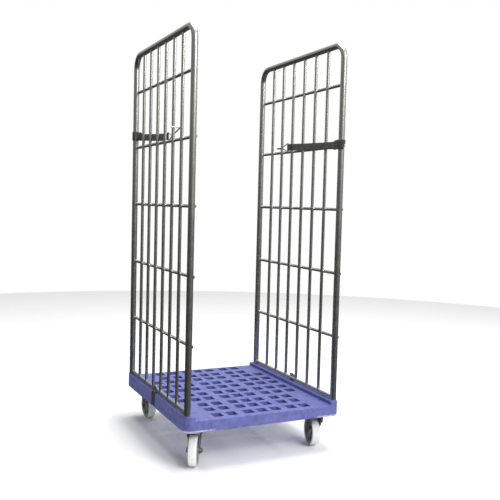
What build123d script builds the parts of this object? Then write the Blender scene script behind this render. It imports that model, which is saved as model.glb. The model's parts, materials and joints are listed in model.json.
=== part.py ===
from build123d import *
import os
from math import sin, cos, radians, sqrt

os.makedirs("parts", exist_ok=True)

# Roll cage container. Millimetres, +Z up, origin on the floor under the middle
# of the base, X across the two side panels, front at -Y.

# ------------------------------------------------------------------ base
BASE_W = 692.0           # X, over both side sills
BASE_D = 800.0           # Y, front to rear
BASE_BOTTOM = 150.0      # underside of the base above the floor
DECK_Z = 198.0           # load surface
SILL_Z = 213.0           # top of the raised side sills
SILL_W = 40.0            # width of a side sill
CORNER_R = 26.0          # vertical corners of the base
HOLE_W, HOLE_L = 42.0, 47.0
HOLE_COLS = (-197.0, -135.0, -61.0, 0.0, 61.0, 135.0, 197.0)
HOLE_ROWS = (-356.0, -274.0, -203.0, -118.0, -43.0, 43.0, 118.0, 203.0, 274.0, 356.0)
OUTER_COLS = (-260.0, 260.0)
OUTER_ROWS = (-118.0, -43.0, 43.0, 118.0, 203.0)
RIB_WALL = 6.0           # wall left around each deck hole, under the deck skin
DECK_SKIN = 7.0

# ------------------------------------------------------------------ side panels
PANEL_X = 330.0          # tube centre from the middle
TUBE_Y = 373.0           # upright centre from the middle
TUBE_D, TUBE_WALL = 26.0, 2.0
TOP_Z = 1705.0           # centre of the top rail
BEND_R = 60.0            # centre-line radius of the two top bends
SOCKET_FLOOR = 165.0     # the uprights stand on this level, inside the sills
SOCKET_GAP = 0.5         # radial room for the upright in its socket
WIRE_D = 13.5            # upright bars, cross rails and bottom rod
WIRE_YS = (-250.0, -150.0, -50.0, 50.0, 150.0, 250.0)
RAIL_ZS = (480.0, 750.0, 1021.0, 1286.0, 1542.0)
BOTTOM_ROD_Z = 224.0
WELD = 0.4               # how far two welded wires sink into each other

# ------------------------------------------------------------------ locking tongues
TONGUE_W = 40.0
TONGUE_T = 3.0
RECESS_W = 52.0
RECESS_T = 5.0

# ------------------------------------------------------------------ straps
STRAP_W = 31.0           # width of the band
LOOP_H = 40.0            # height of the sewn loop round the upright
STRAP_T = 2.5
LOOP_R_IN, LOOP_R_OUT = 13.4, 17.5
STRAP_END = {"left": 8.0, "right": 42.0}     # |Y| of the sewn end loop, past the middle of the panel
EYE_L = 52.0             # length of the hook's triangular eye
STRAP_END_IN = 26.0      # end of the strap, inward from the tube centre plane
HOOK_R = 2.5
HOOK_TIP_Y = 160.2       # |Y| of the hook's tip, just past a wire
LEFT_STRAP_Z = (1338.0, 1335.0, 1309.0, 1336.0)     # loop, start and end of the band, tip of the hook
RIGHT_STRAP_Z = (1291.0, 1288.0, 1303.0, 1303.0)

# ------------------------------------------------------------------ castors
WHEEL_R = 62.5
TREAD_W = 36.0
HUB_W = 40.0
FORK_IN = 42.0           # between the legs
LEG_T = 3.0
AXLE_D = 10.0
BUSH_D = 16.0
TRAIL = 28.0
SWIVEL_POS = {"front_left": (-275.0, -318.0), "front_right": (275.0, -318.0)}
SWIVEL_YAW = {"front_left": 28.0, "front_right": 12.0}    # rolling direction from +Y towards +X
SWIVEL_SIDE = {"front_left": -1.0, "front_right": 1.0}    # wheel in front of or behind its kingpin
FIXED_POS = {"rear_left": (-258.0, 335.0), "rear_right": (258.0, 335.0)}
PLATE_T = 4.0
PLATE_L, PLATE_S = 105.0, 85.0
BOLT_L, BOLT_S = 80.0, 60.0
BOLT_D = 8.0
RACE_D = 72.0
FORK_TOP = 141.6
CROWN_Z = 134.0


def save(bp, name):
    bp.part.label = name
    export_step(bp.part, "parts/" + name + ".step")


def local(base, origin, x=(1, 0, 0), z=(0, 0, 1)):
    """A plane given in the coordinates of another plane."""
    def d(v):
        return base.x_dir * v[0] + base.y_dir * v[1] + base.z_dir * v[2]
    return Plane(origin=base.from_local_coords(Vector(*origin)), x_dir=d(x), z_dir=d(z))


# bolt positions under each castor plate
def bolt_points(cx, cy, along_x):
    a, b = (BOLT_L / 2, BOLT_S / 2) if along_x else (BOLT_S / 2, BOLT_L / 2)
    return [(cx + i * a, cy + j * b) for i in (-1, 1) for j in (-1, 1)]


PLATE_BOLTS = {}
for name, (cx, cy) in SWIVEL_POS.items():
    PLATE_BOLTS[name] = bolt_points(cx, cy, True)
for name, (cx, cy) in FIXED_POS.items():
    PLATE_BOLTS[name] = bolt_points(cx, cy, False)
ALL_BOLTS = [p for pts in PLATE_BOLTS.values() for p in pts]
SILL_IN = BASE_W / 2 - SILL_W

# ================================================================== deck
hole_points = [(x, y) for x in HOLE_COLS for y in HOLE_ROWS]
hole_points += [(x, y) for x in OUTER_COLS for y in OUTER_ROWS]

# pockets under the deck between two rows of holes
pockets = []
for cols, rows in ((HOLE_COLS, HOLE_ROWS), (OUTER_COLS, OUTER_ROWS)):
    for x in cols:
        for y0, y1 in zip(rows[:-1], rows[1:]):
            length = (y1 - y0) - HOLE_L - 2 * RIB_WALL
            pockets.append((x, (y0 + y1) / 2, length))

with BuildPart() as deck:
    with BuildSketch(Plane.XY.offset(BASE_BOTTOM)):
        Rectangle(2 * SILL_IN, BASE_D)
    extrude(amount=DECK_Z - BASE_BOTTOM)
    long_top = deck.edges().filter_by(Axis.X).group_by(Axis.Z)[-1]
    fillet(long_top, 6.0)
    low = deck.edges().filter_by(Axis.X).group_by(Axis.Z)[0]
    chamfer(low, 2.0)
    with BuildSketch(Plane.XY.offset(DECK_Z)):
        with Locations(*hole_points):
            RectangleRounded(HOLE_W, HOLE_L, 5.0)
    extrude(amount=-(DECK_Z - BASE_BOTTOM), mode=Mode.SUBTRACT)
    with BuildSketch(Plane.XY.offset(BASE_BOTTOM)):
        for x, y, length in pockets:
            with Locations((x, y)):
                Rectangle(HOLE_W, length)
    extrude(amount=DECK_Z - BASE_BOTTOM - DECK_SKIN, mode=Mode.SUBTRACT)
    with BuildSketch(Plane.XY.offset(BASE_BOTTOM)):
        with Locations(*[p for p in ALL_BOLTS if abs(p[0]) < SILL_IN]):
            Circle(BOLT_D / 2 + 0.1)
    extrude(amount=30.0, mode=Mode.SUBTRACT)
save(deck, "deck")

# ================================================================== side sills
for side, s in (("left", -1), ("right", 1)):
    with BuildPart() as sill:
        with BuildSketch(Plane.XY.offset(BASE_BOTTOM)) as sk:
            with Locations((s * (SILL_IN + SILL_W / 2), 0)):
                Rectangle(SILL_W, BASE_D)
            outer = sk.vertices().sort_by(Axis.X)
            outer = outer[:2] if s < 0 else outer[-2:]
            fillet(outer, CORNER_R)
        extrude(amount=SILL_Z - BASE_BOTTOM)
        top_edges = sill.edges().group_by(Axis.Z)[-1]
        fillet(top_edges, 4.0)
        chamfer(sill.edges().group_by(Axis.Z)[0], 1.5)
        # sockets for the two uprights
        with BuildSketch(Plane.XY.offset(SILL_Z)):
            with Locations((s * PANEL_X, -TUBE_Y), (s * PANEL_X, TUBE_Y)):
                Circle(TUBE_D / 2 + SOCKET_GAP)
        extrude(amount=-(SILL_Z - SOCKET_FLOOR), mode=Mode.SUBTRACT)
        # recess for the locking tongue in the outer face
        with BuildSketch(Plane.XY.offset(BASE_BOTTOM)):
            with Locations((s * (BASE_W / 2 - RECESS_T / 2), 0)):
                Rectangle(RECESS_T, RECESS_W)
        extrude(amount=SILL_Z - BASE_BOTTOM, mode=Mode.SUBTRACT)
        pts = [p for p in ALL_BOLTS if p[0] * s > SILL_IN]
        if pts:
            with BuildSketch(Plane.XY.offset(BASE_BOTTOM)):
                with Locations(*pts):
                    Circle(BOLT_D / 2 + 0.1)
            extrude(amount=28.0, mode=Mode.SUBTRACT)
    save(sill, "side_sill_" + side)

# ================================================================== side panels
for side, s in (("left", -1), ("right", 1)):
    X = s * PANEL_X
    # bent tube: front upright, top rail, rear upright
    with BuildPart() as frame:
        with BuildLine() as path:
            FilletPolyline(
                (X, -TUBE_Y, SOCKET_FLOOR), (X, -TUBE_Y, TOP_Z),
                (X, TUBE_Y, TOP_Z), (X, TUBE_Y, SOCKET_FLOOR), radius=BEND_R)
        with BuildSketch(Plane(origin=(X, -TUBE_Y, SOCKET_FLOOR), x_dir=(1, 0, 0), z_dir=(0, 0, 1))):
            Circle(TUBE_D / 2)
            Circle(TUBE_D / 2 - TUBE_WALL, mode=Mode.SUBTRACT)
        sweep()
    save(frame, "frame_tube_" + side)

    # cross rails, welded to the +X side of the wires and to the flank of the uprights
    rail_x = X + WIRE_D - WELD
    with BuildPart() as rails:
        for z in RAIL_ZS:
            with BuildSketch(Plane(origin=(rail_x, -TUBE_Y, z), x_dir=(1, 0, 0), z_dir=(0, 1, 0))):
                Circle(WIRE_D / 2)
            extrude(amount=2 * TUBE_Y)
        with BuildSketch(Plane.XY.offset(RAIL_ZS[0] - 20)):
            with Locations((X, -TUBE_Y), (X, TUBE_Y)):
                Circle(TUBE_D / 2 - 0.2)
        extrude(amount=RAIL_ZS[-1] - RAIL_ZS[0] + 40, mode=Mode.SUBTRACT)
    save(rails, "cross_rails_" + side)

    # bottom rod between the uprights, its ends coped to them
    rail_half = TUBE_Y - 8.0
    with BuildPart() as rod:
        with BuildSketch(Plane(origin=(X, -rail_half, BOTTOM_ROD_Z), x_dir=(1, 0, 0), z_dir=(0, 1, 0))):
            Circle(WIRE_D / 2)
        extrude(amount=2 * rail_half)
        with BuildSketch(Plane.XY.offset(BOTTOM_ROD_Z - 20)):
            with Locations((X, -TUBE_Y), (X, TUBE_Y)):
                Circle(TUBE_D / 2 - 0.2)
        extrude(amount=40, mode=Mode.SUBTRACT)
    save(rod, "bottom_rod_" + side)

    # upright wires, coped to the bottom rod and to the underside of the top rail
    wire_low = BOTTOM_ROD_Z + 1.5
    wire_top = TOP_Z - 5.0
    with BuildPart() as wires:
        with BuildSketch(Plane.XY.offset(wire_low)):
            with Locations(*[(X, y) for y in WIRE_YS]):
                Circle(WIRE_D / 2)
        extrude(amount=wire_top - wire_low)
        with BuildSketch(Plane(origin=(X, -300.0, TOP_Z), x_dir=(1, 0, 0), z_dir=(0, 1, 0))):
            Circle(TUBE_D / 2 - 0.2)
        extrude(amount=600.0, mode=Mode.SUBTRACT)
        with BuildSketch(Plane(origin=(X, -300.0, BOTTOM_ROD_Z), x_dir=(1, 0, 0), z_dir=(0, 1, 0))):
            Circle(WIRE_D / 2 - 0.2)
        extrude(amount=600.0, mode=Mode.SUBTRACT)
    save(wires, "upright_wires_" + side)

    # locking tongue: a bent strip from the bottom rod down the recess in the sill
    face = BASE_W / 2 - 0.5
    with BuildPart() as tongue:
        pts = [(face - TONGUE_T, 158.0), (face, 158.0), (face, 219.5),
               (PANEL_X + WIRE_D / 2 + TONGUE_T - 0.2, 219.5), (PANEL_X + WIRE_D / 2 + TONGUE_T - 0.2, 242.0),
               (PANEL_X + WIRE_D / 2 - 0.2, 242.0), (PANEL_X + WIRE_D / 2 - 0.2, 216.5),
               (face - TONGUE_T, 216.5)]
        with BuildSketch(Plane(origin=(0, TONGUE_W / 2, 0), x_dir=(1, 0, 0), z_dir=(0, -1, 0))):
            with BuildLine():
                Polyline(*[(s * px, pz) for px, pz in pts], close=True)
            make_face()
        extrude(amount=TONGUE_W)
        corner = [e for e in tongue.edges().filter_by(Axis.X) if e.center().Z < 160 or e.center().Z > 241]
        fillet(corner, 6.0)
    save(tongue, "locking_tongue_" + side)

# ================================================================== straps
# Each strap is looped round one upright, lies along the inside of its own panel and is
# hooked on an upright wire: the left one from the rear upright, the right one from the front.
for side, s, (z_loop, z0, z1, z_tip) in (("left", -1, LEFT_STRAP_Z), ("right", 1, RIGHT_STRAP_Z)):
    # frame of the strap: local x points inward from the tube, local y along the strap
    base = Plane(origin=(s * PANEL_X, -s * TUBE_Y, 0), x_dir=(-s, 0, 0), z_dir=(0, 0, 1))
    # local y of this plane is -s in the world, so the strap runs towards local -y
    run = TUBE_Y + STRAP_END[side]
    x0 = LOOP_R_OUT - STRAP_T / 2
    x1 = STRAP_END_IN
    with BuildPart() as strap:
        with BuildSketch(local(base, (0, 0, z_loop - LOOP_H / 2))):
            Circle(LOOP_R_OUT)
            Circle(LOOP_R_IN, mode=Mode.SUBTRACT)
        extrude(amount=LOOP_H)
        # outer half relieved where the loop sits on the end of a cross rail
        rest = RAIL_ZS[3] + WIRE_D / 2 + 0.8
        if z_loop - LOOP_H / 2 < rest:
            with BuildSketch(local(base, (-10.5, 0, z_loop - LOOP_H))):
                Rectangle(23.0, 40.0)
            extrude(amount=rest - (z_loop - LOOP_H), mode=Mode.SUBTRACT)
        # band between the loop round the upright and the end loop
        a = Plane(origin=base.from_local_coords(Vector(x0, 0, z0)), x_dir=base.x_dir, z_dir=base.y_dir * -1)
        b = Plane(origin=base.from_local_coords(Vector(x1, -run + 4.0, z1)), x_dir=base.x_dir, z_dir=base.y_dir * -1)
        with BuildSketch(a):
            Rectangle(STRAP_T, STRAP_W)
        with BuildSketch(b):
            Rectangle(STRAP_T, STRAP_W)
        loft()
        with BuildSketch(local(base, (x1, -run, z1 - STRAP_W / 2))):
            Circle(5.2)
        extrude(amount=STRAP_W)
        with BuildSketch(local(base, (x1, -run, z1 - STRAP_W / 2))):
            Circle(HOOK_R + 0.2)
        extrude(amount=STRAP_W, mode=Mode.SUBTRACT)
        # clear the bore round the upright where the band joins it
        with BuildSketch(local(base, (0, 0, z_loop - LOOP_H))):
            Circle(LOOP_R_IN)
        extrude(amount=2 * LOOP_H, mode=Mode.SUBTRACT)
    save(strap, "strap_" + side)

    # wire hook: a triangular eye through the end loop, a shank and an open tip past a wire
    eye = STRAP_W / 2 + 5.0
    nose = -(run + EYE_L)
    tip_y = -(TUBE_Y + HOOK_TIP_Y)

    def gp(x, y, z):
        return base.from_local_coords(Vector(x, y, z))

    with BuildPart() as hook:
        ring = [(x1, -run, z1 - eye), (x1, -run, z1 + eye), (x1, nose, z1 + 3.0), (x1, nose, z1 - 3.0)]
        with BuildLine():
            FilletPolyline(*[gp(*p) for p in ring], radius=3.2, close=True)
        start = gp(x1, -run, z1)
        with BuildSketch(Plane(origin=start, x_dir=base.x_dir, z_dir=(0, 0, 1))):
            Circle(HOOK_R)
        sweep()
        with BuildLine():
            FilletPolyline(gp(x1, nose + 1.0, z1), gp(x1, tip_y, z_tip), gp(-14.0, tip_y, z_tip), radius=11.0)
        with BuildSketch(Plane(origin=gp(x1, nose + 1.0, z1), x_dir=base.x_dir, z_dir=gp(x1, tip_y, z_tip) - gp(x1, nose + 1.0, z1))):
            Circle(HOOK_R + 0.4)
        sweep()
    save(hook, "strap_hook_" + side)


# ================================================================== castors
# half section of a wheel: first the radius, then the place along the axle
WHEEL_SECTION = (
    (BUSH_D / 2, -HUB_W / 2), (15.0, -HUB_W / 2), (17.0, -5.0), (46.0, -5.0),
    (48.0, -TREAD_W / 2 + 2.0), (56.5, -TREAD_W / 2), (60.5, -TREAD_W / 2 + 3.0),
    (WHEEL_R, -TREAD_W / 2 + 10.0), (WHEEL_R, TREAD_W / 2 - 10.0),
    (60.5, TREAD_W / 2 - 3.0), (56.5, TREAD_W / 2), (48.0, TREAD_W / 2 - 2.0),
    (46.0, 5.0), (17.0, 5.0), (15.0, HUB_W / 2), (BUSH_D / 2, HUB_W / 2))


def make_wheel_set(name, axle_centre, lateral):
    """Wheel, bush, axle bolt and nut, about a horizontal axle."""
    lat = Vector(*lateral)
    fwd = Vector(0, 0, 1).cross(lat)
    # plane with its x along a radius and its y along the axle
    prof = Plane(origin=axle_centre, x_dir=fwd, z_dir=fwd.cross(lat))
    axle = Axis(origin=axle_centre, direction=lat)
    with BuildPart() as wheel:
        with BuildSketch(prof):
            with BuildLine():
                Polyline(*WHEEL_SECTION, close=True)
            make_face()
        revolve(axis=axle, revolution_arc=360)
        # ribs between hub and rim, on both faces
        side_plane = Plane(origin=Vector(*axle_centre) - lat * (TREAD_W / 2 - 3.0), x_dir=fwd, z_dir=lat)
        with BuildSketch(side_plane):
            with PolarLocations(31.5, 8, start_angle=22.5):
                Rectangle(32.0, 3.0)
        extrude(amount=TREAD_W - 6.0)
    save(wheel, "wheel_" + name)
    end = Plane(origin=Vector(*axle_centre) - lat * (HUB_W / 2 + 0.5), x_dir=fwd, z_dir=lat)
    with BuildPart() as bush:
        with BuildSketch(end):
            Circle(BUSH_D / 2)
            Circle(AXLE_D / 2 + 0.05, mode=Mode.SUBTRACT)
        extrude(amount=HUB_W + 1.0)
    save(bush, "wheel_bush_" + name)
    out = FORK_IN / 2 + LEG_T
    with BuildPart() as bolt:
        head = Plane(origin=Vector(*axle_centre) - lat * out, x_dir=fwd, z_dir=lat * -1)
        with BuildSketch(head):
            RegularPolygon(9.2, 6)
        extrude(amount=6.4)
        with BuildSketch(Plane(origin=Vector(*axle_centre) - lat * (out + 1.0), x_dir=fwd, z_dir=lat)):
            Circle(AXLE_D / 2)
        extrude(amount=2 * out + 1.0 + 12.0)
        chamfer(bolt.edges().filter_by(GeomType.CIRCLE).sort_by(Axis(origin=axle_centre, direction=lat))[-1], 1.0)
    save(bolt, "axle_bolt_" + name)
    with BuildPart() as nut:
        with BuildSketch(Plane(origin=Vector(*axle_centre) + lat * out, x_dir=fwd, z_dir=lat)):
            RegularPolygon(9.2, 6)
            Circle(AXLE_D / 2 + 0.05, mode=Mode.SUBTRACT)
        extrude(amount=9.0)
    save(nut, "axle_nut_" + name)


def make_plate_bolts(name, under_z):
    with BuildPart() as bolts:
        with BuildSketch(Plane.XY.offset(under_z - 5.3)):
            with Locations(*PLATE_BOLTS[name]):
                RegularPolygon(7.4, 6)
        extrude(amount=5.3)
        with BuildSketch(Plane.XY.offset(under_z - 1.0)):
            with Locations(*PLATE_BOLTS[name]):
                Circle(BOLT_D / 2)
        extrude(amount=176.0 - under_z + 1.0)
    save(bolts, "plate_bolts_" + name)


# ------------------------------------------------------------------ swivel castors
for name, (cx, cy) in SWIVEL_POS.items():
    yaw = radians(SWIVEL_YAW[name])
    side = SWIVEL_SIDE[name]
    P = Plane(origin=(cx, cy, 0), x_dir=(cos(yaw), -sin(yaw), 0), z_dir=(0, 0, 1))
    wheel_y = side * TRAIL
    with BuildPart() as plate:
        with BuildSketch(Plane.XY.offset(BASE_BOTTOM - PLATE_T)):
            with Locations((cx, cy)):
                RectangleRounded(PLATE_L, PLATE_S, 8.0)
            with Locations(*PLATE_BOLTS[name]):
                Circle(BOLT_D / 2 + 0.1, mode=Mode.SUBTRACT)
        extrude(amount=PLATE_T)
        # dished upper race
        with BuildSketch(Plane.XY.offset(BASE_BOTTOM - PLATE_T)):
            with Locations((cx, cy)):
                Circle(RACE_D / 2 - 4.0)
        extrude(amount=-4.0, taper=12)
        with BuildSketch(Plane.XY.offset(BASE_BOTTOM - 12.0)):
            with Locations((cx, cy)):
                Circle(6.05)
        extrude(amount=12.0, mode=Mode.SUBTRACT)
    save(plate, "castor_plate_" + name)

    with BuildPart() as pin:
        with BuildSketch(Plane.XY.offset(CROWN_Z - 6.3)):
            with Locations((cx, cy)):
                Circle(10.0)
        extrude(amount=6.0)
        chamfer(pin.edges().group_by(Axis.Z)[0], 1.5)
        with BuildSketch(Plane.XY.offset(CROWN_Z - 1.0)):
            with Locations((cx, cy)):
                Circle(6.0)
        extrude(amount=BASE_BOTTOM - CROWN_Z + 1.0 - 0.2)
    save(pin, "kingpin_" + name)

    with BuildPart() as fork:
        # crown: the lower race
        with BuildSketch(P.offset(CROWN_Z)):
            Circle(RACE_D / 2)
        extrude(amount=FORK_TOP - CROWN_Z, taper=10)
        # neck that widens the crown out to the legs
        with BuildSketch(P.offset(CROWN_Z)):
            Rectangle(FORK_IN + 2 * LEG_T, 58.0)
        extrude(amount=3.0)
        for lx in (-1, 1):
            x_in = lx * FORK_IN / 2 if lx > 0 else -(FORK_IN / 2 + LEG_T)
            leg_plane = local(P, (x_in, 0, 0), x=(0, 1, 0), z=(1, 0, 0))
            # leg outline: wide at the crown, round at the axle
            with BuildSketch(leg_plane):
                with BuildLine():
                    Polyline((-29.0, CROWN_Z + 3.0), (29.0, CROWN_Z + 3.0), (29.0, 112.0),
                             (wheel_y + 14.0, WHEEL_R), (wheel_y - 14.0, WHEEL_R), (-29.0, 112.0), close=True)
                make_face()
                with Locations((wheel_y, WHEEL_R)):
                    Circle(14.0)
                with Locations((wheel_y, WHEEL_R)):
                    Circle(AXLE_D / 2 + 0.1, mode=Mode.SUBTRACT)
            extrude(amount=LEG_T)
            # turned-out flanges along both edges of the leg
            for fy, (ya, za), (yb, zb) in (
                    (1, (29.0, CROWN_Z + 3.0), (29.0, 112.0)),
                    (-1, (-29.0, 112.0), (-29.0, CROWN_Z + 3.0))):
                flange_plane = local(P, (lx * (FORK_IN / 2 + LEG_T), fy * 27.5, (za + zb) / 2), x=(0, 1, 0), z=(lx, 0, 0))
                with BuildSketch(flange_plane):
                    Rectangle(3.0, abs(za - zb))
                extrude(amount=5.0)
        with BuildSketch(P.offset(CROWN_Z - 2.0)):
            Circle(6.08)
        extrude(amount=FORK_TOP - CROWN_Z + 4.0, mode=Mode.SUBTRACT)
    save(fork, "castor_fork_" + name)

    centre = P.from_local_coords(Vector(0, wheel_y, WHEEL_R))
    make_wheel_set(name, (centre.X, centre.Y, centre.Z), (cos(yaw), -sin(yaw), 0))
    make_plate_bolts(name, BASE_BOTTOM - PLATE_T)

# ------------------------------------------------------------------ fixed castors
for name, (cx, cy) in FIXED_POS.items():
    P = Plane(origin=(cx, cy, 0), x_dir=(1, 0, 0), z_dir=(0, 0, 1))
    with BuildPart() as bracket:
        with BuildSketch(Plane.XY.offset(BASE_BOTTOM - PLATE_T)):
            with Locations((cx, cy)):
                RectangleRounded(PLATE_S, PLATE_L, 8.0)
            with Locations(*PLATE_BOLTS[name]):
                Circle(BOLT_D / 2 + 0.1, mode=Mode.SUBTRACT)
        extrude(amount=PLATE_T)
        for lx in (-1, 1):
            x_in = FORK_IN / 2 if lx > 0 else -(FORK_IN / 2 + LEG_T)
            leg_plane = local(P, (x_in, 0, 0), x=(0, 1, 0), z=(1, 0, 0))
            with BuildSketch(leg_plane):
                with BuildLine():
                    Polyline((-31.0, BASE_BOTTOM - PLATE_T + 1.0), (31.0, BASE_BOTTOM - PLATE_T + 1.0), (31.0, 126.0),
                             (14.0, WHEEL_R), (-14.0, WHEEL_R), (-31.0, 126.0), close=True)
                make_face()
                with Locations((0, WHEEL_R)):
                    Circle(14.0)
                with Locations((0, WHEEL_R)):
                    Circle(AXLE_D / 2 + 0.1, mode=Mode.SUBTRACT)
            extrude(amount=LEG_T)
    save(bracket, "castor_bracket_" + name)
    make_wheel_set(name, (cx, cy, WHEEL_R), (1.0, 0, 0))
    make_plate_bolts(name, BASE_BOTTOM - PLATE_T)
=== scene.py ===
import bpy, bmesh, math, json, random
from mathutils import Vector, Matrix


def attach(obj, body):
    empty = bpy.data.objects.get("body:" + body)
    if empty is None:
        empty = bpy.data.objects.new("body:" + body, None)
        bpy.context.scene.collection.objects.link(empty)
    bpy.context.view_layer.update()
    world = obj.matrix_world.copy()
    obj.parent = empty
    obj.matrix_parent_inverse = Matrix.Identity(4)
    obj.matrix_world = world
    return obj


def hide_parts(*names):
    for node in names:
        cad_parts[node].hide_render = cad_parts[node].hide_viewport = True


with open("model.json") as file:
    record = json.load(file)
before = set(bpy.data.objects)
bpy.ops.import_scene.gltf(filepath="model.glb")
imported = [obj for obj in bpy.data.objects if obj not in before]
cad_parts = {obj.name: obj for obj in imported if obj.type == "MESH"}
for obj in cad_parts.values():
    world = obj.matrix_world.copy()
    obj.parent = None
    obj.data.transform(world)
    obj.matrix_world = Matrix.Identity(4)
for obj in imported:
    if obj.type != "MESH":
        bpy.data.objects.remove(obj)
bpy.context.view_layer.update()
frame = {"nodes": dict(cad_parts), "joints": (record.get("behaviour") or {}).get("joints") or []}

N = frame["nodes"]
rnd = random.Random(7)
SIDES = ("left", "right")
CASTORS = ("front_left", "front_right", "rear_left", "rear_right")
scene = bpy.context.scene


# ---------------------------------------------------------------- node helpers
class Mat:
    """A procedural material, built node by node."""

    def __init__(self, name):
        self.m = bpy.data.materials.new(name)
        self.m.use_nodes = True
        self.t = self.m.node_tree
        self.t.nodes.clear()
        self.out = self.t.nodes.new("ShaderNodeOutputMaterial")
        self.p = self.t.nodes.new("ShaderNodeBsdfPrincipled")
        self.t.links.new(self.p.outputs[0], self.out.inputs[0])
        self.tc = self.t.nodes.new("ShaderNodeTexCoord")
        self.geo = self.t.nodes.new("ShaderNodeNewGeometry")

    def link(self, a, b):
        self.t.links.new(a, b)

    def put(self, sock, v):
        if isinstance(v, bpy.types.NodeSocket):
            self.link(v, sock)
        else:
            sock.default_value = v

    def node(self, kind, **ins):
        n = self.t.nodes.new(kind)
        for k, v in ins.items():
            self.put(n.inputs[k], v)
        return n

    def math(self, op, a, b=0.0, c=0.0, clamp=False):
        n = self.t.nodes.new("ShaderNodeMath")
        n.operation = op
        n.use_clamp = clamp
        self.put(n.inputs[0], a)
        self.put(n.inputs[1], b)
        self.put(n.inputs[2], c)
        return n.outputs[0]

    def coord(self, scale=(1, 1, 1), kind="Object", shift=(0, 0, 0)):
        n = self.t.nodes.new("ShaderNodeMapping")
        self.link(self.tc.outputs[kind], n.inputs[0])
        n.inputs[1].default_value = shift
        n.inputs[3].default_value = scale
        return n.outputs[0]

    def xyz(self, vec):
        n = self.t.nodes.new("ShaderNodeSeparateXYZ")
        self.link(vec, n.inputs[0])
        return n.outputs[0], n.outputs[1], n.outputs[2]

    def noise(self, vec, scale, detail=4.0, rough=0.55, distort=0.0):
        n = self.t.nodes.new("ShaderNodeTexNoise")
        self.link(vec, n.inputs["Vector"])
        n.inputs["Scale"].default_value = scale
        n.inputs["Detail"].default_value = detail
        n.inputs["Roughness"].default_value = rough
        n.inputs["Distortion"].default_value = distort
        return n.outputs[0]

    def voronoi(self, vec, scale, feature="F1", out=0):
        n = self.t.nodes.new("ShaderNodeTexVoronoi")
        n.feature = feature
        self.link(vec, n.inputs["Vector"])
        n.inputs["Scale"].default_value = scale
        return n.outputs[out]

    def ramp(self, fac, stops):
        n = self.t.nodes.new("ShaderNodeValToRGB")
        e = n.color_ramp.elements
        while len(e) < len(stops):
            e.new(0.5)
        for i, (p, c) in enumerate(stops):
            e[i].position = p
            e[i].color = (c, c, c, 1) if isinstance(c, (int, float)) else (*c, 1)
        self.link(fac, n.inputs[0])
        return n.outputs[0]

    def mix(self, fac, a, b, blend="MIX"):
        n = self.t.nodes.new("ShaderNodeMix")
        n.data_type = "RGBA"
        n.blend_type = blend
        n.clamp_factor = True
        self.put(n.inputs[0], fac)
        self.put(n.inputs[6], a if isinstance(a, bpy.types.NodeSocket) else (*a, 1))
        self.put(n.inputs[7], b if isinstance(b, bpy.types.NodeSocket) else (*b, 1))
        return n.outputs[2]

    def between(self, v, lo, hi, soft):
        """1 between lo and hi, falling to 0 over soft on both sides."""
        a = self.t.nodes.new("ShaderNodeMapRange")
        a.interpolation_type = "SMOOTHSTEP"
        self.put(a.inputs[0], v)
        a.inputs[1].default_value, a.inputs[2].default_value = lo - soft, lo
        b = self.t.nodes.new("ShaderNodeMapRange")
        b.interpolation_type = "SMOOTHSTEP"
        self.put(b.inputs[0], v)
        b.inputs[1].default_value, b.inputs[2].default_value = hi, hi + soft
        b.inputs[3].default_value, b.inputs[4].default_value = 1.0, 0.0
        return self.math("MULTIPLY", a.outputs[0], b.outputs[0])

    def bump(self, height, strength, distance, normal=None):
        n = self.t.nodes.new("ShaderNodeBump")
        n.inputs["Strength"].default_value = strength
        n.inputs["Distance"].default_value = distance
        self.put(n.inputs["Height"], height)
        if normal is not None:
            self.link(normal, n.inputs["Normal"])
        return n.outputs[0]

    def set(self, name, v):
        self.put(self.p.inputs[name], v)


def rgb(r, g, b):
    """sRGB 0-255 to linear."""
    def f(c):
        c /= 255.0
        return c / 12.92 if c <= 0.04045 else ((c + 0.055) / 1.055) ** 2.4
    return (f(r), f(g), f(b))


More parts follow.
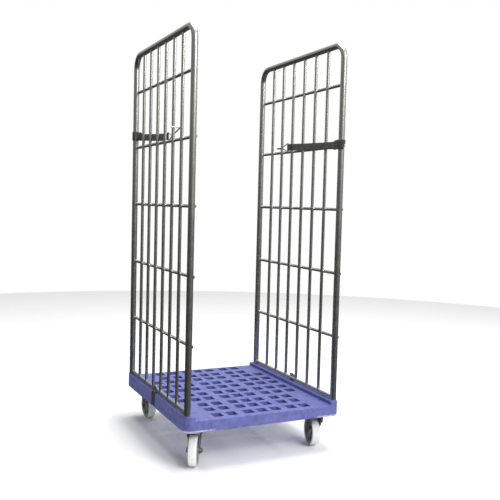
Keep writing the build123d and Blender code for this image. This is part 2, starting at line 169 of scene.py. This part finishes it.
# ---------------------------------------------------------------- materials
def blue_plastic(name, base, light, dark, kind):
    """Moulded polyethylene: pale scuffed edges, dull mottled faces, painted shade in the inner corners and hole
    pockets.
    """
    m = Mat(name)
    o = m.coord()
    x, y, z = m.xyz(o)
    cloud = m.noise(o, 7.0, 6.0, 0.6)
    col = m.mix(m.ramp(cloud, [(0.3, 0.0), (0.72, 1.0)]), base, [0.72 * a + 0.28 * b for a, b in zip(base, light)])
    fine = m.noise(o, 160.0, 3.0, 0.7)
    col = m.mix(m.ramp(fine, [(0.45, 0.0), (0.75, 0.35)]), col, light)
    # wear on edges that stick out; painted shade darkening the inner corners and hole walls
    point = m.geo.outputs["Pointiness"]
    rub = m.noise(o, 38.0, 5.0, 0.65)
    wear = m.math("MULTIPLY", m.ramp(point, [(0.505, 0.0), (0.56, 1.0)]), m.ramp(rub, [(0.35, 0.25), (0.65, 1.0)]))
    col = m.mix(m.math("MULTIPLY", wear, 0.85), col, light)
    # painted shade: concave corners and the deck's hole walls are mixed towards the dark blue
    crevice_shade = m.math("MULTIPLY", m.ramp(point, [(0.44, 1.0), (0.495, 0.0)]), 0.55)
    col = m.mix(crevice_shade, col, dark)
    # long fine scratches, mostly along the traffic direction
    s1 = m.noise(m.coord((9.0, 260.0, 40.0)), 1.0, 2.0, 0.5)
    s2 = m.noise(m.coord((240.0, 11.0, 60.0), shift=(3.0, 1.0, 0.0)), 1.0, 2.0, 0.5)
    scr = m.math("MAXIMUM", m.ramp(s1, [(0.70, 0.0), (0.74, 1.0)]), m.ramp(s2, [(0.71, 0.0), (0.75, 1.0)]))
    col = m.mix(m.math("MULTIPLY", scr, 0.35), col, light)
    # whitish rubbed lower edge near the two front corners
    front = m.between(y, -0.41, -0.372, 0.012)
    low = m.between(z, 0.145, 0.1555, 0.004)
    corner = m.math("ADD", m.between(x, -0.345, -0.235, 0.02), m.between(x, 0.25, 0.345, 0.02), clamp=True)
    ragged = m.ramp(m.noise(o, 55.0, 6.0, 0.7), [(0.36, 0.0), (0.50, 1.0)])
    rubbed = m.math("MULTIPLY", m.math("MULTIPLY", front, low), m.math("MULTIPLY", corner, ragged))
    col = m.mix(m.math("MULTIPLY", rubbed, 0.85), col, rgb(196, 197, 222))
    m.set("Base Color", col)
    m.set("Roughness", m.ramp(m.noise(o, 25.0, 4.0, 0.6), [(0.3, 0.40), (0.7, 0.60)]))
    m.set("IOR", 1.5)
    grain = m.noise(o, 900.0, 2.0, 0.5)
    wavy = m.noise(o, 16.0, 2.0, 0.5)
    n1 = m.bump(grain, 0.25, 0.0004)
    n2 = m.bump(wavy, 0.20, 0.004, n1)
    n3 = m.bump(m.math("SUBTRACT", 1.0, scr), 0.25, 0.0005, n2)
    m.set("Normal", n3)
    return m.m


def zinc(name, along, base, dull, rough=(0.22, 0.42), specks=True, tint=(0.52, 0.53, 0.42)):
    """Zinc-plated steel: streaks along the drawn length, small dull spots, faint yellow-green tint."""
    m = Mat(name)
    o = m.coord()
    sc = {"z": (260.0, 260.0, 7.0), "y": (260.0, 7.0, 260.0), "x": (7.0, 260.0, 260.0), "n": (60.0, 60.0, 60.0)}[along]
    streak = m.noise(m.coord(sc), 1.0, 4.0, 0.6)
    blot = m.noise(o, 30.0, 5.0, 0.65)
    col = m.mix(m.ramp(streak, [(0.3, 0.0), (0.7, 1.0)]), base, dull)
    col = m.mix(m.math("MULTIPLY", m.ramp(blot, [(0.45, 0.0), (0.7, 1.0)]), 0.55), col, tint)
    if specks:
        sp = m.voronoi(o, 420.0)
        spots = m.math("MULTIPLY", m.ramp(sp, [(0.10, 1.0), (0.22, 0.0)]), m.ramp(m.noise(o, 21.0, 3.0), [(0.5, 0.0), (0.65, 1.0)]))
        col = m.mix(m.math("MULTIPLY", spots, 0.6), col, [0.35 * c for c in dull])
    m.set("Base Color", col)
    m.set("Metallic", 1.0)
    r = m.ramp(m.math("ADD", m.math("MULTIPLY", streak, 0.5), m.math("MULTIPLY", blot, 0.5)), [(0.35, rough[0]), (0.65, rough[1])])
    m.set("Roughness", r)
    b1 = m.bump(streak, 0.12, 0.0003)
    b2 = m.bump(m.noise(o, 500.0, 3.0, 0.6), 0.10, 0.0003, b1)
    m.set("Normal", b2)
    return m.m


def dark_plastic(name):
    m = Mat(name)
    o = m.coord()
    n = m.noise(o, 120.0, 4.0)
    m.set("Base Color", m.mix(m.ramp(n, [(0.35, 0.0), (0.7, 1.0)]), (0.018, 0.018, 0.02), (0.05, 0.05, 0.052)))
    m.set("Roughness", m.ramp(n, [(0.3, 0.35), (0.7, 0.6)]))
    m.set("Normal", m.bump(m.noise(o, 800.0, 2.0), 0.2, 0.0003))
    return m.m


def wheel_plastic(name, centre, axle):
    """Off-white polyamide: bright tread, side faces a darker grey as painted shade, black scuffs, painted shade in the
    crevices.
    """
    m = Mat(name)
    o = m.coord()
    v = m.node("ShaderNodeVectorMath")
    v.operation = "SUBTRACT"
    m.link(o, v.inputs[0])
    v.inputs[1].default_value = centre
    d = m.node("ShaderNodeVectorMath")
    d.operation = "DOT_PRODUCT"
    m.link(v.outputs[0], d.inputs[0])
    d.inputs[1].default_value = axle
    axial = d.outputs["Value"]
    ln = m.node("ShaderNodeVectorMath")
    ln.operation = "LENGTH"
    m.link(v.outputs[0], ln.inputs[0])
    r2 = m.math("SUBTRACT", m.math("MULTIPLY", ln.outputs["Value"], ln.outputs["Value"]), m.math("MULTIPLY", axial, axial))
    radial = m.math("SQRT", m.math("MAXIMUM", r2, 0.0))
    tread = m.ramp(m.math("MULTIPLY", radial, 10.0), [(0.575, 0.0), (0.605, 1.0)])
    cloud = m.noise(o, 45.0, 5.0, 0.6)
    # painted shade: the side faces are a darker grey copy of the tread's off-white
    side = m.mix(m.ramp(cloud, [(0.35, 0.0), (0.7, 1.0)]), rgb(150, 152, 154), rgb(188, 189, 188))
    top = m.mix(m.ramp(cloud, [(0.4, 0.0), (0.75, 1.0)]), rgb(246, 246, 243), rgb(226, 225, 219))
    col = m.mix(tread, side, top)
    scuff = m.noise(m.coord((50.0, 50.0, 50.0)), 2.2, 8.0, 0.75, 0.6)
    marks = m.ramp(scuff, [(0.60, 0.0), (0.70, 1.0)])
    col = m.mix(m.math("MULTIPLY", marks, 0.5), col, rgb(70, 70, 70))
    # painted shade darkening the wheel's inner corners and crevices
    crevice_shade = m.ramp(m.geo.outputs["Pointiness"], [(0.44, 0.8), (0.50, 0.0)])
    col = m.mix(crevice_shade, col, rgb(62, 62, 63))
    m.set("Base Color", col)
    m.set("Roughness", m.ramp(cloud, [(0.3, 0.38), (0.7, 0.58)]))
    m.set("Normal", m.bump(m.noise(o, 350.0, 4.0, 0.7), 0.25, 0.0005))
    return m.m


def webbing(name):
    """Woven polyester: warp ribs and weft picks from the strap's own UV, in millimetres."""
    m = Mat(name)
    u, v, _ = m.xyz(m.coord(kind="UV"))
    pu, pv = 1.6, 1.15
    a = m.math("ABSOLUTE", m.math("SINE", m.math("MULTIPLY", u, math.pi / pu)))
    b = m.math("ABSOLUTE", m.math("SINE", m.math("MULTIPLY", v, math.pi / pv)))
    cu = m.math("FLOOR", m.math("DIVIDE", u, pu))
    cv = m.math("FLOOR", m.math("DIVIDE", v, pv))
    par = m.math("MODULO", m.math("ABSOLUTE", m.math("ADD", cu, m.math("MULTIPLY", cv, 1.0))), 2.0)
    over = m.math("GREATER_THAN", par, 0.5)
    h = m.math("ADD", m.math("MULTIPLY", over, b), m.math("MULTIPLY", m.math("SUBTRACT", 1.0, over), m.math("MULTIPLY", a, 0.75)))
    fibre = m.noise(m.coord((0.35, 3.2, 1.0), kind="UV"), 2.6, 4.0, 0.7)
    o = m.coord()
    fade = m.noise(o, 26.0, 5.0, 0.6)
    base = m.mix(m.ramp(fade, [(0.35, 0.0), (0.7, 1.0)]), (0.008, 0.0075, 0.0065), (0.030, 0.026, 0.020))
    # painted highlight: the colour lightens with the weave's height, so the thread crowns are lighter than the gaps
    col = m.mix(m.math("MULTIPLY", h, 0.55), base, (0.060, 0.055, 0.045))
    col = m.mix(m.ramp(fibre, [(0.55, 0.0), (0.8, 0.35)]), col, (0.10, 0.095, 0.085))
    m.set("Base Color", col)
    m.set("Roughness", m.ramp(fibre, [(0.3, 0.62), (0.7, 0.85)]))
    m.set("Sheen Weight", 0.25)
    m.set("Sheen Roughness", 0.5)
    n1 = m.bump(h, 0.8, 0.0006)
    m.set("Normal", m.bump(fibre, 0.35, 0.0002, n1))
    return m.m


def thread(name, c0, c1):
    m = Mat(name)
    o = m.coord()
    n = m.noise(o, 900.0, 3.0)
    m.set("Base Color", m.mix(m.ramp(n, [(0.35, 0.0), (0.7, 1.0)]), c0, c1))
    m.set("Roughness", m.ramp(n, [(0.3, 0.5), (0.7, 0.8)]))
    m.set("Normal", m.bump(n, 0.4, 0.0002))
    return m.m


BLUE = rgb(92, 95, 163)
BLUE_LIGHT = rgb(112, 118, 184)
# dark blue used only as painted shade in the plastic's inner corners and hole pockets
BLUE_SHADE = rgb(34, 38, 104)
M = {}
M["deck"] = blue_plastic("deck_plastic", rgb(70, 73, 141), BLUE_LIGHT, BLUE_SHADE, "deck")
M["sill"] = blue_plastic("sill_plastic", rgb(66, 68, 137), BLUE_LIGHT, BLUE_SHADE, "sill")
ZB, ZD = (0.60, 0.61, 0.58), (0.42, 0.43, 0.40)
M["tube"] = zinc("zinc_tube", "z", ZB, ZD, (0.20, 0.36))
M["wire"] = zinc("zinc_wire", "z", (0.62, 0.63, 0.60), (0.44, 0.45, 0.42), (0.20, 0.36))
M["rail"] = zinc("zinc_rail", "y", (0.58, 0.59, 0.56), (0.40, 0.41, 0.38), (0.22, 0.38))
M["plate"] = zinc("zinc_plate", "n", (0.50, 0.51, 0.47), (0.34, 0.35, 0.32), (0.30, 0.50))
M["tongue"] = zinc("zinc_tongue", "z", (0.40, 0.44, 0.40), (0.26, 0.30, 0.27), (0.35, 0.55))
M["fastener"] = zinc("zinc_fastener", "n", (0.48, 0.48, 0.45), (0.30, 0.31, 0.29), (0.25, 0.45))
M["hook"] = zinc("zinc_hook", "n", (0.74, 0.74, 0.69), (0.55, 0.55, 0.50), (0.15, 0.30), specks=False)
M["bush"] = dark_plastic("bush_plastic")
M["webbing"] = webbing("strap_webbing")
M["thread"] = thread("strap_thread", (0.05, 0.045, 0.035), (0.13, 0.12, 0.10))


def paint(node, mat):
    o = N[node]
    o.data.materials.clear()
    o.data.materials.append(mat)


paint("deck", M["deck"])
for s in SIDES:
    paint("side_sill_" + s, M["sill"])
    paint("frame_tube_" + s, M["tube"])
    paint("upright_wires_" + s, M["wire"])
    paint("cross_rails_" + s, M["rail"])
    paint("bottom_rod_" + s, M["rail"])
    paint("locking_tongue_" + s, M["tongue"])
    paint("strap_hook_" + s, M["hook"])
AXLE = {j["child"][len("road_wheel_"):]: (j["pos_m"], j["axis"]) for j in frame["joints"] if j["child"].startswith("road_wheel_")}
for c in CASTORS:
    paint("wheel_" + c, wheel_plastic("wheel_plastic_" + c, *AXLE[c]))
    paint("wheel_bush_" + c, M["bush"])
    paint("axle_bolt_" + c, M["fastener"])
    paint("axle_nut_" + c, M["fastener"])
    paint("plate_bolts_" + c, M["fastener"])
    if c.startswith("front"):
        paint("castor_plate_" + c, M["plate"])
        paint("castor_fork_" + c, M["plate"])
        paint("kingpin_" + c, M["fastener"])
    else:
        paint("castor_bracket_" + c, M["plate"])


# ---------------------------------------------------------------- mesh helpers
def new_object(name, bm, mats, body, smooth=True):
    me = bpy.data.meshes.new(name)
    bm.normal_update()
    bm.to_mesh(me)
    bm.free()
    for mt in mats:
        me.materials.append(mt)
    if smooth:
        for p in me.polygons:
            p.use_smooth = True
    o = bpy.data.objects.new(name, me)
    scene.collection.objects.link(o)
    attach(o, body)
    return o


# ---------------------------------------------------------------- straps
PANEL_X, TUBE_Y = 0.330, 0.373
STRAP = {
    "left": dict(s=-1, loop=1.3380, z0=1.3350, z1=1.3090, run=0.381, lift=None),
    "right": dict(s=1, loop=1.2910, z0=1.2880, z1=1.3030, run=0.415, lift=1.29355),
}
T = 0.0012          # one thickness of webbing
BAND_W, LOOP_H = 0.031, 0.040


def ribbon(bm, uv, rows, thick, mat=0):
    """A closed strip from rows of (centre, across, outward, half width, u). Crowned a little, with rounded selvedges."""
    rings = []
    prof = []
    k = 10
    for i in range(k + 1):
        prof.append((-1 + 2 * i / k, 1))
    for i in range(k + 1):
        prof.append((1 - 2 * i / k, -1))
    for c, ac, ou, hw, u in rows:
        ring = []
        for a, b in prof:
            edge = 1 - max(0.0, (abs(a) - 0.9) / 0.1) ** 2 * 0.75
            p = c + ac * (a * hw) + ou * (b * thick / 2 * edge)
            ring.append((bm.verts.new(p), a * hw * 1000, u * 1000))
        rings.append(ring)
    n = len(rings[0])
    for r0, r1 in zip(rings[:-1], rings[1:]):
        for i in range(n):
            j = (i + 1) % n
            q = [r0[i], r0[j], r1[j], r1[i]]
            f = bm.faces.new([x[0] for x in q])
            f.material_index = mat
            for lp, x in zip(f.loops, q):
                lp[uv].uv = (x[2], x[1])
    for ring, flip in ((rings[0], True), (rings[-1], False)):
        vs = [x[0] for x in ring]
        f = bm.faces.new(vs[::-1] if flip else vs)
        f.material_index = mat
        for lp in f.loops:
            lp[uv].uv = (ring[0][2], 0.0)


def capsule(bm, a, b, r, mat=0, seg=6):
    """A short round thread between two points, pinched into the cloth at both ends."""
    d = (b - a)
    L = d.length
    d.normalize()
    ref = Vector((0, 0, 1)) if abs(d.z) < 0.9 else Vector((1, 0, 0))
    x = d.cross(ref).normalized()
    y = d.cross(x)
    rings = []
    for t, k in ((0.0, 0.15), (0.12, 0.8), (0.5, 1.0), (0.88, 0.8), (1.0, 0.15)):
        c = a + d * (L * t)
        rings.append([bm.verts.new(c + (x * math.cos(2 * math.pi * i / seg) + y * math.sin(2 * math.pi * i / seg)) * r * k) for i in range(seg)])
    for r0, r1 in zip(rings[:-1], rings[1:]):
        for i in range(seg):
            f = bm.faces.new([r0[i], r0[(i + 1) % seg], r1[(i + 1) % seg], r1[i]])
            f.material_index = mat
    bm.faces.new(rings[0][::-1]).material_index = mat
    bm.faces.new(rings[-1]).material_index = mat


for side, q in STRAP.items():
    s = q["s"]
    origin = Vector((s * PANEL_X, -s * TUBE_Y, 0))
    ex = Vector((-s, 0, 0))                    # inward from the tube
    ey = Vector((0, s, 0))                     # along the strap
    up = Vector((0, 0, 1))

    def at(x, y, z):
        return origin + ex * x + ey * y + up * z

    R = 0.0154
    bm = bmesh.new()
    uv = bm.loops.layers.uv.new("UVMap")
    # the band: from the end loop back to the upright, sagging very slightly in the middle
    x0, x1 = 0.01625, 0.0260
    rows = []
    steps = 46
    for i in range(steps + 1):
        t = i / steps
        y = t * (q["run"] - 0.004)
        z = q["z0"] + (q["z1"] - q["z0"]) * t - 0.0015 * math.sin(math.pi * t)
        x = x0 + (x1 - x0) * t + 0.0005 * math.sin(2.0 * math.pi * t)
        rows.append((at(x, y, z), up, ex, BAND_W / 2 * (1 + 0.012 * math.sin(17 * t)), y))
    ribbon(bm, uv, rows, 0.0021)
    # loop round the upright, one thickness, full height; its outer half stands on the cross rail on the right
    rows = []
    a0, a1 = math.radians(96), math.radians(-244)
    n = 64
    for i in range(n + 1):
        t = i / n
        a = a0 + (a1 - a0) * t
        # local angle: 0 inward, 90 along the strap
        lo, hi = q["loop"] - LOOP_H / 2, q["loop"] + LOOP_H / 2
        if q["lift"] is not None:
            inw = math.cos(a)
            k = min(1.0, max(0.0, (-inw + 0.02) / 0.22))
            lo = lo + (q["lift"] - lo) * k
        c = at(R * math.cos(a), R * math.sin(a), (lo + hi) / 2)
        ou = ex * math.cos(a) + ey * math.sin(a)
        rows.append((c, up, ou, (hi - lo) / 2, t * 0.09))
    ribbon(bm, uv, rows, 0.0024)
    # doubled end, sewn on to the band beside the upright
    rows = []
    for i in range(9):
        t = i / 8
        y = 0.0005 + t * 0.034
        z = q["loop"] + (q["z0"] - q["loop"]) * t
        x = x0 + 0.0019 + (x1 - x0) * t * 0.08
        hw = LOOP_H / 2 + (BAND_W / 2 - LOOP_H / 2) * min(1.0, max(0.0, t * 5 - 3.6))
        rows.append((at(x, y, z), up, ex, hw, y))
    ribbon(bm, uv, rows, 0.0017)
    # end loop round the hook's eye, and its doubled tail
    rows = []
    for i in range(29):
        t = i / 28
        a = math.radians(200 - 400 * t)
        r = 0.0040
        c = at(x1 + r * math.sin(a), q["run"] + r * math.cos(a), q["z1"])
        rows.append((c, up, ex * math.sin(a) + ey * math.cos(a), BAND_W / 2, t * 0.03))
    ribbon(bm, uv, rows, 0.0019)
    rows = []
    for i in range(7):
        t = i / 6
        y = q["run"] - 0.004 - 0.030 * t
        x = x1 + 0.0030 - 0.0012 * t
        rows.append((at(x, y, q["z1"] + (q["z0"] - q["z1"]) * 0.08 * t), up, ex, BAND_W / 2 * 0.99, y))
    ribbon(bm, uv, rows, 0.0019)
    band = new_object("retaining_strap_" + side + "_webbing", bm, [M["webbing"]], "retaining_strap_" + side)
    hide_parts("strap_" + side)
    # box and cross stitches on the two sewn ends
    bm = bmesh.new()
    for y_a, y_b, xx, hh, zc in ((0.012, 0.031, x0 + 0.0032, 0.0125, q["loop"] * 0.5 + q["z0"] * 0.5),
                                 (q["run"] - 0.030, q["run"] - 0.009, x1 + 0.0038, 0.0115, q["z1"])):
        corners = [(y_a, -hh), (y_b, -hh), (y_b, hh), (y_a, hh)]
        lines = [(corners[i], corners[(i + 1) % 4]) for i in range(4)] + [(corners[0], corners[2]), (corners[1], corners[3])]
        for (ya, za), (yb, zb) in lines:
            L = math.hypot(yb - ya, zb - za)
            cnt = max(3, int(L / 0.0030))
            for i in range(cnt):
                t0, t1 = (i + 0.12) / cnt, (i + 0.86) / cnt
                capsule(bm, at(xx, ya + (yb - ya) * t0, zc + za + (zb - za) * t0), at(xx, ya + (yb - ya) * t1, zc + za + (zb - za) * t1), 0.00042)
    st = new_object("retaining_strap_" + side + "_stitching", bm, [M["thread"]], "retaining_strap_" + side)


# ---------------------------------------------------------------- weld beads
def bead(bm, c, ax, r, squash, seed):
    """A small uneven blob of weld metal, longer along ax."""
    q = random.Random(seed)
    d = ax.normalized()
    ref = Vector((0, 0, 1)) if abs(d.z) < 0.9 else Vector((0, 1, 0))
    x = d.cross(ref).normalized()
    y = d.cross(x)
    rings = []
    for k in range(1, 6):
        th = math.pi * k / 6
        ring = []
        for i in range(8):
            ph = 2 * math.pi * i / 8
            rr = r * (1 + q.uniform(-0.16, 0.16))
            ring.append(bm.verts.new(c + d * (rr * squash * math.cos(th)) + (x * math.cos(ph) + y * math.sin(ph)) * (rr * math.sin(th))))
        rings.append(ring)
    a = bm.verts.new(c + d * (r * squash))
    b = bm.verts.new(c - d * (r * squash))
    for i in range(8):
        j = (i + 1) % 8
        bm.faces.new([a, rings[0][i], rings[0][j]])
        bm.faces.new([b, rings[-1][j], rings[-1][i]])
        for r0, r1 in zip(rings[:-1], rings[1:]):
            bm.faces.new([r0[i], r1[i], r1[j], r0[j]])


M["weld"] = zinc("zinc_weld", "n", (0.82, 0.82, 0.78), (0.60, 0.60, 0.56), (0.22, 0.40), specks=False)
WIRE_YS = (-0.250, -0.150, -0.050, 0.050, 0.150, 0.250)
RAIL_ZS = (0.480, 0.750, 1.021, 1.286, 1.542)
for side, s in (("left", -1), ("right", 1)):
    X = s * PANEL_X
    bm = bmesh.new()
    k = 0
    for y in WIRE_YS:
        for z in RAIL_ZS:
            for dy in (-1, 1):
                k += 1
                bead(bm, Vector((X + 0.0065, y + dy * 0.0045, z)), Vector((0, 0.25, 1)), 0.0032, 1.25, k)
        for dy in (-1, 1):
            k += 1
            bead(bm, Vector((X, y + dy * 0.0064, 0.224 + 0.0073)), Vector((1, 0, 0)), 0.0024, 1.8, k)
            k += 1
            bead(bm, Vector((X, y + dy * 0.0064, 1.705 - 0.0133)), Vector((1, 0, 0)), 0.0024, 1.8, k)
    for y in (-TUBE_Y, TUBE_Y):
        inward = 1 if y < 0 else -1
        for z in RAIL_ZS:
            k += 1
            bead(bm, Vector((X + 0.0086, y + inward * 0.0103, z + 0.0050)), Vector((0, 1, 0)), 0.0024, 1.8, k)
            k += 1
            bead(bm, Vector((X + 0.0086, y + inward * 0.0103, z - 0.0050)), Vector((0, 1, 0)), 0.0024, 1.8, k)
        for dx in (-1, 1):
            k += 1
            bead(bm, Vector((X + dx * 0.0064, y + inward * 0.0117, 0.224)), Vector((0, 0, 1)), 0.0020, 1.6, k)
    new_object("weld_beads_" + side, bm, [M["weld"]], "side_panel_" + side)

# ---------------------------------------------------------------- floor, lights, camera
bm = bmesh.new()
seg = 96
ring = [bm.verts.new((5.2 * math.cos(2 * math.pi * i / seg), 5.2 * math.sin(2 * math.pi * i / seg), 0.0)) for i in range(seg)]
bm.faces.new(ring)
me = bpy.data.meshes.new("studio_floor")
bm.to_mesh(me)
bm.free()
floor = bpy.data.objects.new("studio_floor", me)
scene.collection.objects.link(floor)
fm = Mat("pale_floor")
fm.set("Base Color", fm.mix(fm.ramp(fm.noise(fm.coord(), 3.0, 3.0), [(0.3, 0.0), (0.7, 1.0)]), (0.93, 0.93, 0.93), (0.95, 0.95, 0.95)))
fm.set("Roughness", 0.9)
me.materials.append(fm.m)
floor.visible_glossy = False

w = bpy.data.worlds.new("studio")
scene.world = w
w.use_nodes = True
wt = w.node_tree
wt.nodes.clear()
wo = wt.nodes.new("ShaderNodeOutputWorld")
mixs = wt.nodes.new("ShaderNodeMixShader")
lp = wt.nodes.new("ShaderNodeLightPath")
bg_cam = wt.nodes.new("ShaderNodeBackground")
bg_cam.inputs[0].default_value = (1, 1, 1, 1)
bg_cam.inputs[1].default_value = 1.0
bg = wt.nodes.new("ShaderNodeBackground")
tcw = wt.nodes.new("ShaderNodeTexCoord")
sep = wt.nodes.new("ShaderNodeSeparateXYZ")
wt.links.new(tcw.outputs["Generated"], sep.inputs[0])


def wramp(sock, lo, hi, stops):
    mr = wt.nodes.new("ShaderNodeMapRange")
    mr.inputs[1].default_value, mr.inputs[2].default_value = lo, hi
    wt.links.new(sock, mr.inputs[0])
    r = wt.nodes.new("ShaderNodeValToRGB")
    e = r.color_ramp.elements
    while len(e) < len(stops):
        e.new(0.5)
    for i, (p, c) in enumerate(stops):
        e[i].position = p
        e[i].color = (c, c, c, 1)
    wt.links.new(mr.outputs[0], r.inputs[0])
    return r.outputs[0]


vert = wramp(sep.outputs[2], -1, 1, [(0.0, 0.10), (0.48, 0.16), (0.515, 0.42), (0.57, 0.95), (1.0, 1.0)])
horiz = wramp(sep.outputs[0], -1, 1, [(0.0, 0.35), (0.35, 0.55), (0.6, 1.0), (1.0, 0.95)])
mul = wt.nodes.new("ShaderNodeMix")
mul.data_type = "RGBA"
mul.blend_type = "MULTIPLY"
mul.inputs[0].default_value = 1.0
wt.links.new(vert, mul.inputs[6])
wt.links.new(horiz, mul.inputs[7])
wt.links.new(mul.outputs[2], bg.inputs[0])
bg.inputs[1].default_value = 0.85
wt.links.new(lp.outputs["Is Camera Ray"], mixs.inputs[0])
wt.links.new(bg.outputs[0], mixs.inputs[1])
wt.links.new(bg_cam.outputs[0], mixs.inputs[2])
wt.links.new(mixs.outputs[0], wo.inputs[0])


def area(name, pos, target, sx, sy, power, col=(1, 1, 1)):
    L = bpy.data.lights.new(name, "AREA")
    L.shape = "RECTANGLE"
    L.size, L.size_y = sx, sy
    L.energy = power
    L.color = col
    o = bpy.data.objects.new(name, L)
    scene.collection.objects.link(o)
    o.location = pos
    o.rotation_mode = "QUATERNION"
    o.rotation_quaternion = (Vector(target) - Vector(pos)).to_track_quat("-Z", "Y")
    return o


area("key_softbox", (1.6, -4.2, 3.6), (0, 0, 0.6), 2.4, 2.4, 130)
area("top_softbox", (0.4, 0.2, 4.6), (0, 0, 0), 3.0, 3.0, 170)

cam = bpy.data.cameras.new("photo_camera")
cam.sensor_fit = "HORIZONTAL"
cam.sensor_width = 36.0
F, C, YPR = 718.3, (-1.3079, -2.9275, 1.0355), (25.683, 3.676, 1.469)
cam.lens = F / 500.0 * 36.0
cam.clip_start, cam.clip_end = 0.05, 60
co = bpy.data.objects.new("photo_camera", cam)
scene.collection.objects.link(co)
yw, pt, rl = [math.radians(v) for v in YPR]
fwd = Vector((math.sin(yw) * math.cos(pt), math.cos(yw) * math.cos(pt), -math.sin(pt)))
rt = Vector((math.cos(yw), -math.sin(yw), 0))
upv = rt.cross(fwd)
r_ = rt * math.cos(rl) + upv * math.sin(rl)
u_ = -rt * math.sin(rl) + upv * math.cos(rl)
mw = Matrix((r_, u_, -fwd)).transposed().to_4x4()
mw.translation = Vector(C)
co.matrix_world = mw
scene.camera = co
scene.view_settings.view_transform = "Standard"
scene.view_settings.look = "None"
